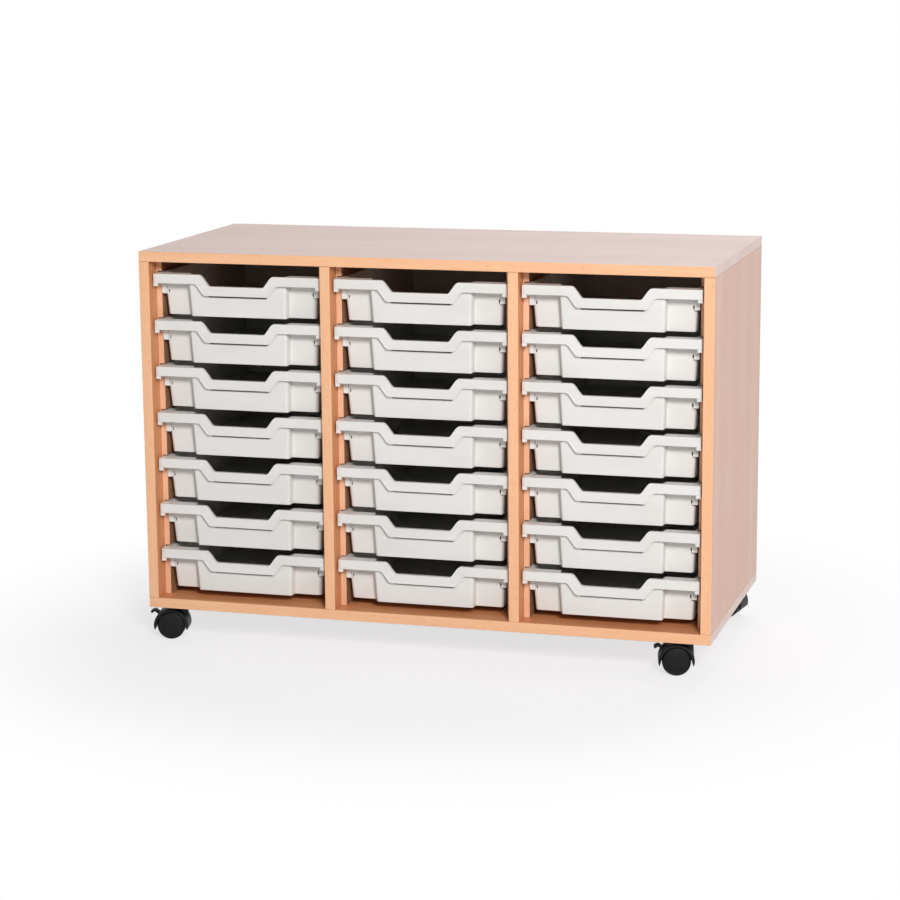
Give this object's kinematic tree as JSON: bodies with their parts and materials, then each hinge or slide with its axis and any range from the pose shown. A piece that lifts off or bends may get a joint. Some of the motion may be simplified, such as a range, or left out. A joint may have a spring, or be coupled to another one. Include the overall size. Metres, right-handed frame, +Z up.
{
  "type": "classroom tray storage unit",
  "caption": "Low mobile classroom storage unit: a beech-effect board carcass whose bays hold shallow pull-out plastic trays on grooved runner panels, standing on braked twin-wheel castors.",
  "frame": {"origin": "on the floor, under the middle of the carcass", "axes": "+X to the right seen from the front, +Y from the front to the back, +Z up"},
  "size_m": [1.0394, 0.4684, 0.7098],
  "materials": {
    "beech_board": "satin melamine face on chipboard, printed with a beech grain",
    "back_board": "dark matt fibreboard",
    "runner_board": "pale satin fibreboard",
    "tray_plastic": "light grey moulded polypropylene, satin",
    "castor_plastic": "black moulded nylon",
    "wheel_plastic": "black hard wheel plastic",
    "steel": "zinc plated"
  },
  "bodies": {
    "carcass": {"top_panel": "beech_board", "bottom_panel": "beech_board", "left_side_panel": "beech_board", "right_side_panel": "beech_board", "left_divider": "beech_board", "right_divider": "beech_board", "back_panel": "back_board", "runner_left_bay_left": "runner_board", "runner_left_bay_right": "runner_board", "runner_middle_bay_left": "runner_board", "runner_middle_bay_right": "runner_board", "runner_right_bay_left": "runner_board", "runner_right_bay_right": "runner_board", "castor_front_left_plate": "steel", "castor_front_right_plate": "steel", "castor_back_left_plate": "steel", "castor_back_right_plate": "steel"},
    "tray_left_1": {"tray_left_1": "tray_plastic"},
    "tray_left_2": {"tray_left_2": "tray_plastic"},
    "tray_left_3": {"tray_left_3": "tray_plastic"},
    "tray_left_4": {"tray_left_4": "tray_plastic"},
    "tray_left_5": {"tray_left_5": "tray_plastic"},
    "tray_left_6": {"tray_left_6": "tray_plastic"},
    "tray_left_7": {"tray_left_7": "tray_plastic"},
    "tray_middle_1": {"tray_middle_1": "tray_plastic"},
    "tray_middle_2": {"tray_middle_2": "tray_plastic"},
    "tray_middle_3": {"tray_middle_3": "tray_plastic"},
    "tray_middle_4": {"tray_middle_4": "tray_plastic"},
    "tray_middle_5": {"tray_middle_5": "tray_plastic"},
    "tray_middle_6": {"tray_middle_6": "tray_plastic"},
    "tray_middle_7": {"tray_middle_7": "tray_plastic"},
    "tray_right_1": {"tray_right_1": "tray_plastic"},
    "tray_right_2": {"tray_right_2": "tray_plastic"},
    "tray_right_3": {"tray_right_3": "tray_plastic"},
    "tray_right_4": {"tray_right_4": "tray_plastic"},
    "tray_right_5": {"tray_right_5": "tray_plastic"},
    "tray_right_6": {"tray_right_6": "tray_plastic"},
    "tray_right_7": {"tray_right_7": "tray_plastic"},
    "castor_front_left_swivel": {"castor_front_left_hood": "castor_plastic", "castor_front_left_axle": "steel"},
    "castor_front_left_wheel_front": {"castor_front_left_wheel_front": "wheel_plastic"},
    "castor_front_left_wheel_back": {"castor_front_left_wheel_back": "wheel_plastic"},
    "castor_front_left_brake_lever": {"castor_front_left_brake_lever": "castor_plastic"},
    "castor_front_right_swivel": {"castor_front_right_hood": "castor_plastic", "castor_front_right_axle": "steel"},
    "castor_front_right_wheel_front": {"castor_front_right_wheel_front": "wheel_plastic"},
    "castor_front_right_wheel_back": {"castor_front_right_wheel_back": "wheel_plastic"},
    "castor_front_right_brake_lever": {"castor_front_right_brake_lever": "castor_plastic"},
    "castor_back_left_swivel": {"castor_back_left_hood": "castor_plastic", "castor_back_left_axle": "steel"},
    "castor_back_left_wheel_front": {"castor_back_left_wheel_front": "wheel_plastic"},
    "castor_back_left_wheel_back": {"castor_back_left_wheel_back": "wheel_plastic"},
    "castor_back_right_swivel": {"castor_back_right_hood": "castor_plastic", "castor_back_right_axle": "steel"},
    "castor_back_right_wheel_front": {"castor_back_right_wheel_front": "wheel_plastic"},
    "castor_back_right_wheel_back": {"castor_back_right_wheel_back": "wheel_plastic"}
  },
  "joints": [
    {"name": "tray_left_1_slide", "type": "slide", "parent": "carcass", "child": "tray_left_1", "axis": [0, -1, 0], "range_m": [0, 0.36]},
    {"name": "tray_left_2_slide", "type": "slide", "parent": "carcass", "child": "tray_left_2", "axis": [0, -1, 0], "range_m": [0, 0.36]},
    {"name": "tray_left_3_slide", "type": "slide", "parent": "carcass", "child": "tray_left_3", "axis": [0, -1, 0], "range_m": [0, 0.36]},
    {"name": "tray_left_4_slide", "type": "slide", "parent": "carcass", "child": "tray_left_4", "axis": [0, -1, 0], "range_m": [0, 0.36]},
    {"name": "tray_left_5_slide", "type": "slide", "parent": "carcass", "child": "tray_left_5", "axis": [0, -1, 0], "range_m": [0, 0.36]},
    {"name": "tray_left_6_slide", "type": "slide", "parent": "carcass", "child": "tray_left_6", "axis": [0, -1, 0], "range_m": [0, 0.36]},
    {"name": "tray_left_7_slide", "type": "slide", "parent": "carcass", "child": "tray_left_7", "axis": [0, -1, 0], "range_m": [0, 0.36]},
    {"name": "tray_middle_1_slide", "type": "slide", "parent": "carcass", "child": "tray_middle_1", "axis": [0, -1, 0], "range_m": [0, 0.36]},
    {"name": "tray_middle_2_slide", "type": "slide", "parent": "carcass", "child": "tray_middle_2", "axis": [0, -1, 0], "range_m": [0, 0.36]},
    {"name": "tray_middle_3_slide", "type": "slide", "parent": "carcass", "child": "tray_middle_3", "axis": [0, -1, 0], "range_m": [0, 0.36]},
    {"name": "tray_middle_4_slide", "type": "slide", "parent": "carcass", "child": "tray_middle_4", "axis": [0, -1, 0], "range_m": [0, 0.36]},
    {"name": "tray_middle_5_slide", "type": "slide", "parent": "carcass", "child": "tray_middle_5", "axis": [0, -1, 0], "range_m": [0, 0.36]},
    {"name": "tray_middle_6_slide", "type": "slide", "parent": "carcass", "child": "tray_middle_6", "axis": [0, -1, 0], "range_m": [0, 0.36]},
    {"name": "tray_middle_7_slide", "type": "slide", "parent": "carcass", "child": "tray_middle_7", "axis": [0, -1, 0], "range_m": [0, 0.36]},
    {"name": "tray_right_1_slide", "type": "slide", "parent": "carcass", "child": "tray_right_1", "axis": [0, -1, 0], "range_m": [0, 0.36]},
    {"name": "tray_right_2_slide", "type": "slide", "parent": "carcass", "child": "tray_right_2", "axis": [0, -1, 0], "range_m": [0, 0.36]},
    {"name": "tray_right_3_slide", "type": "slide", "parent": "carcass", "child": "tray_right_3", "axis": [0, -1, 0], "range_m": [0, 0.36]},
    {"name": "tray_right_4_slide", "type": "slide", "parent": "carcass", "child": "tray_right_4", "axis": [0, -1, 0], "range_m": [0, 0.36]},
    {"name": "tray_right_5_slide", "type": "slide", "parent": "carcass", "child": "tray_right_5", "axis": [0, -1, 0], "range_m": [0, 0.36]},
    {"name": "tray_right_6_slide", "type": "slide", "parent": "carcass", "child": "tray_right_6", "axis": [0, -1, 0], "range_m": [0, 0.36]},
    {"name": "tray_right_7_slide", "type": "slide", "parent": "carcass", "child": "tray_right_7", "axis": [0, -1, 0], "range_m": [0, 0.36]},
    {"name": "castor_front_left_swivel_turn", "type": "hinge", "parent": "carcass", "child": "castor_front_left_swivel", "pos_m": [-0.4666, -0.19015, 0.0568], "axis": [0, 0, 1], "continuous": true},
    {"name": "castor_front_left_wheel_front_roll", "type": "hinge", "parent": "castor_front_left_swivel", "child": "castor_front_left_wheel_front", "pos_m": [-0.48609, -0.19465, 0.025], "axis": [-0.225, 0.9744, 0], "continuous": true},
    {"name": "castor_front_left_wheel_back_roll", "type": "hinge", "parent": "castor_front_left_swivel", "child": "castor_front_left_wheel_back", "pos_m": [-0.48609, -0.19465, 0.025], "axis": [-0.225, 0.9744, 0], "continuous": true},
    {"name": "castor_front_left_brake_lever_press", "type": "hinge", "parent": "castor_front_left_swivel", "child": "castor_front_left_brake_lever", "pos_m": [-0.50788, -0.19968, 0.04377], "axis": [0.225, -0.9744, 0], "range_deg": [0, 18]},
    {"name": "castor_front_right_swivel_turn", "type": "hinge", "parent": "carcass", "child": "castor_front_right_swivel", "pos_m": [0.4666, -0.19015, 0.0568], "axis": [0, 0, 1], "continuous": true},
    {"name": "castor_front_right_wheel_front_roll", "type": "hinge", "parent": "castor_front_right_swivel", "child": "castor_front_right_wheel_front", "pos_m": [0.44711, -0.19465, 0.025], "axis": [-0.225, 0.9744, 0], "continuous": true},
    {"name": "castor_front_right_wheel_back_roll", "type": "hinge", "parent": "castor_front_right_swivel", "child": "castor_front_right_wheel_back", "pos_m": [0.44711, -0.19465, 0.025], "axis": [-0.225, 0.9744, 0], "continuous": true},
    {"name": "castor_front_right_brake_lever_press", "type": "hinge", "parent": "castor_front_right_swivel", "child": "castor_front_right_brake_lever", "pos_m": [0.42532, -0.19968, 0.04377], "axis": [0.225, -0.9744, 0], "range_deg": [0, 18]},
    {"name": "castor_back_left_swivel_turn", "type": "hinge", "parent": "carcass", "child": "castor_back_left_swivel", "pos_m": [-0.4866, 0.20315, 0.0568], "axis": [0, 0, 1], "continuous": true},
    {"name": "castor_back_left_wheel_front_roll", "type": "hinge", "parent": "castor_back_left_swivel", "child": "castor_back_left_wheel_front", "pos_m": [-0.46685, 0.20628, 0.025], "axis": [-0.1564, 0.9877, 0], "continuous": true},
    {"name": "castor_back_left_wheel_back_roll", "type": "hinge", "parent": "castor_back_left_swivel", "child": "castor_back_left_wheel_back", "pos_m": [-0.46685, 0.20628, 0.025], "axis": [-0.1564, 0.9877, 0], "continuous": true},
    {"name": "castor_back_right_swivel_turn", "type": "hinge", "parent": "carcass", "child": "castor_back_right_swivel", "pos_m": [0.4866, 0.20315, 0.0568], "axis": [0, 0, 1], "continuous": true},
    {"name": "castor_back_right_wheel_front_roll", "type": "hinge", "parent": "castor_back_right_swivel", "child": "castor_back_right_wheel_front", "pos_m": [0.46685, 0.20628, 0.025], "axis": [0.1564, 0.9877, 0], "continuous": true},
    {"name": "castor_back_right_wheel_back_roll", "type": "hinge", "parent": "castor_back_right_swivel", "child": "castor_back_right_wheel_back", "pos_m": [0.46685, 0.20628, 0.025], "axis": [0.1564, 0.9877, 0], "continuous": true}
  ]
}
